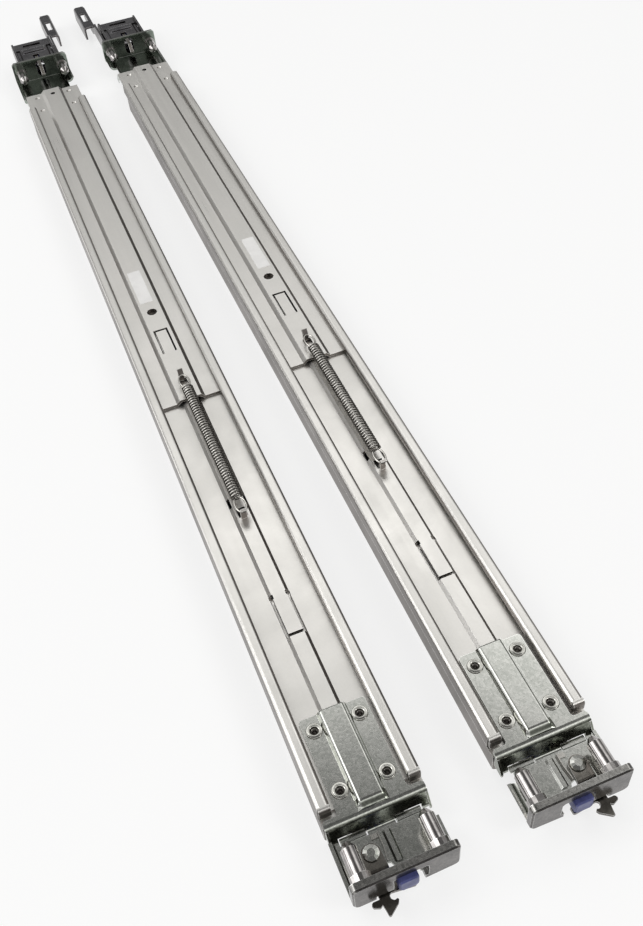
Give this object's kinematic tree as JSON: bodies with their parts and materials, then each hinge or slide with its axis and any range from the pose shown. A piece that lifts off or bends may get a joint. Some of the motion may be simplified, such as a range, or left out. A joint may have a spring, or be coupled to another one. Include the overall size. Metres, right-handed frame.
{
  "type": "sliding server rail pair",
  "caption": "Pair of ball-bearing server slide rails with hooked end brackets, locating studs, latches, tension springs and adjustable rear ends.",
  "frame": {"origin": "centre of the pair in plan, on the flat faces that the server bears on", "axes": "+Y from the front end to the rear end, +Z away from the server, +X across to the right-hand rail; rail closed"},
  "size_m": [0.115, 0.7846, 0.024],
  "materials": {
    "zinc_sheet": "bright zinc-plated steel sheet with a faint rolled grain",
    "zinc_plate": "bright zinc-plated pressing with a faint mottle",
    "dark_zinc": "dark passivated zinc, satin",
    "stud_steel": "turned and zinc-plated",
    "rivet_steel": "zinc-plated, slightly dull",
    "latch_steel": "bright pressed steel",
    "spring_steel": "dark oiled spring wire and leaf",
    "button_plastic": "moulded blue-violet touch point",
    "lever_plastic": "moulded, same blue-violet",
    "label_film": "plain off-white adhesive film",
    "rolled_steel": "cold-rolled, zinc-plated slide member",
    "cage_steel": "thin bright strip",
    "ball_steel": "hardened ball, polished"
  },
  "bodies": {
    "base": {"left_guide_channel": "zinc_sheet", "left_slide_channel": "zinc_sheet", "left_front_bracket": "zinc_plate", "left_front_flange": "zinc_plate", "left_front_rivets": "rivet_steel", "left_front_studs": "stud_steel", "left_front_latch_pivot": "rivet_steel", "left_front_latch_spring": "spring_steel", "left_extension_spring": "spring_steel", "right_guide_channel": "zinc_sheet", "right_slide_channel": "zinc_sheet", "right_front_bracket": "zinc_plate", "right_front_flange": "zinc_plate", "right_front_rivets": "rivet_steel", "right_front_studs": "stud_steel", "right_front_latch_pivot": "rivet_steel", "right_front_latch_spring": "spring_steel", "right_extension_spring": "spring_steel"},
    "left_rear_end": {"left_rear_extension": "zinc_sheet", "left_rear_bracket": "zinc_plate", "left_rear_housing": "dark_zinc", "left_rear_studs": "stud_steel", "left_rear_latch_pivot": "rivet_steel", "left_rear_latch_spring": "spring_steel", "left_cable_arm_mount": "dark_zinc", "left_label": "label_film"},
    "left_front_latch": {"left_front_latch_hook": "latch_steel", "left_front_latch_button": "button_plastic"},
    "left_rear_latch": {"left_rear_latch_hook": "latch_steel", "left_rear_latch_button": "button_plastic"},
    "left_outer_cage": {"left_outer_ball_cage": "cage_steel", "left_outer_balls": "ball_steel"},
    "left_middle": {"left_middle_member": "rolled_steel"},
    "left_inner_cage": {"left_inner_ball_cage": "cage_steel", "left_inner_balls": "ball_steel"},
    "left_inner": {"left_inner_member": "rolled_steel"},
    "left_release": {"left_release_lever": "lever_plastic"},
    "right_rear_end": {"right_rear_extension": "zinc_sheet", "right_rear_bracket": "zinc_plate", "right_rear_housing": "dark_zinc", "right_rear_studs": "stud_steel", "right_rear_latch_pivot": "rivet_steel", "right_rear_latch_spring": "spring_steel", "right_cable_arm_mount": "dark_zinc", "right_label": "label_film"},
    "right_front_latch": {"right_front_latch_hook": "latch_steel", "right_front_latch_button": "button_plastic"},
    "right_rear_latch": {"right_rear_latch_hook": "latch_steel", "right_rear_latch_button": "button_plastic"},
    "right_outer_cage": {"right_outer_ball_cage": "cage_steel", "right_outer_balls": "ball_steel"},
    "right_middle": {"right_middle_member": "rolled_steel"},
    "right_inner_cage": {"right_inner_ball_cage": "cage_steel", "right_inner_balls": "ball_steel"},
    "right_inner": {"right_inner_member": "rolled_steel"},
    "right_release": {"right_release_lever": "lever_plastic"}
  },
  "joints": [
    {"name": "left_length_adjust", "type": "slide", "parent": "base", "child": "left_rear_end", "axis": [0, 1, 0], "range_m": [0, 0.192], "stiffness_N_per_m": 60, "springref_m": -0.03, "deforming": ["left_extension_spring"]},
    {"name": "left_front_latch_turn", "type": "hinge", "parent": "base", "child": "left_front_latch", "pos_m": [-0.044, -0.3697, 0.0093], "axis": [0, 0, 1], "range_deg": [0, 8], "stiffness_Nm_per_rad": 0.4, "springref_deg": -5.73, "deforming": ["left_front_latch_spring"]},
    {"name": "left_rear_latch_turn", "type": "hinge", "parent": "left_rear_end", "child": "left_rear_latch", "pos_m": [-0.036, 0.3103, 0.015], "axis": [-1, 0, 0], "range_deg": [0, 8], "stiffness_Nm_per_rad": 0.4, "springref_deg": -5.73, "deforming": ["left_rear_latch_spring"]},
    {"name": "left_middle_slide", "type": "slide", "parent": "base", "child": "left_middle", "axis": [0, -1, 0], "range_m": [0, 0.33]},
    {"name": "left_outer_cage_slide", "type": "slide", "parent": "base", "child": "left_outer_cage", "axis": [0, -1, 0], "range_m": [0, 0.165]},
    {"name": "left_inner_slide", "type": "slide", "parent": "left_middle", "child": "left_inner", "axis": [0, -1, 0], "range_m": [0, 0.33]},
    {"name": "left_inner_cage_slide", "type": "slide", "parent": "left_middle", "child": "left_inner_cage", "axis": [0, -1, 0], "range_m": [0, 0.165]},
    {"name": "left_release_slide", "type": "slide", "parent": "left_inner", "child": "left_release", "axis": [0, -1, 0], "range_m": [0, 0.006], "stiffness_N_per_m": 300, "springref_m": -0.004},
    {"name": "right_length_adjust", "type": "slide", "parent": "base", "child": "right_rear_end", "axis": [0, 1, 0], "range_m": [0, 0.192], "stiffness_N_per_m": 60, "springref_m": -0.03, "deforming": ["right_extension_spring"]},
    {"name": "right_front_latch_turn", "type": "hinge", "parent": "base", "child": "right_front_latch", "pos_m": [0.044, -0.3697, 0.0093], "axis": [0, 0, -1], "range_deg": [0, 8], "stiffness_Nm_per_rad": 0.4, "springref_deg": -5.73, "deforming": ["right_front_latch_spring"]},
    {"name": "right_rear_latch_turn", "type": "hinge", "parent": "right_rear_end", "child": "right_rear_latch", "pos_m": [0.036, 0.3103, 0.015], "axis": [-1, 0, 0], "range_deg": [0, 8], "stiffness_Nm_per_rad": 0.4, "springref_deg": -5.73, "deforming": ["right_rear_latch_spring"]},
    {"name": "right_middle_slide", "type": "slide", "parent": "base", "child": "right_middle", "axis": [0, -1, 0], "range_m": [0, 0.33]},
    {"name": "right_outer_cage_slide", "type": "slide", "parent": "base", "child": "right_outer_cage", "axis": [0, -1, 0], "range_m": [0, 0.165]},
    {"name": "right_inner_slide", "type": "slide", "parent": "right_middle", "child": "right_inner", "axis": [0, -1, 0], "range_m": [0, 0.33]},
    {"name": "right_inner_cage_slide", "type": "slide", "parent": "right_middle", "child": "right_inner_cage", "axis": [0, -1, 0], "range_m": [0, 0.165]},
    {"name": "right_release_slide", "type": "slide", "parent": "right_inner", "child": "right_release", "axis": [0, -1, 0], "range_m": [0, 0.006], "stiffness_N_per_m": 300, "springref_m": -0.004}
  ],
  "couplings": [
    {"joint": "left_outer_cage_slide", "follows": "left_middle_slide", "ratio": 0.5},
    {"joint": "left_inner_cage_slide", "follows": "left_inner_slide", "ratio": 0.5},
    {"joint": "right_outer_cage_slide", "follows": "right_middle_slide", "ratio": 0.5},
    {"joint": "right_inner_cage_slide", "follows": "right_inner_slide", "ratio": 0.5}
  ]
}
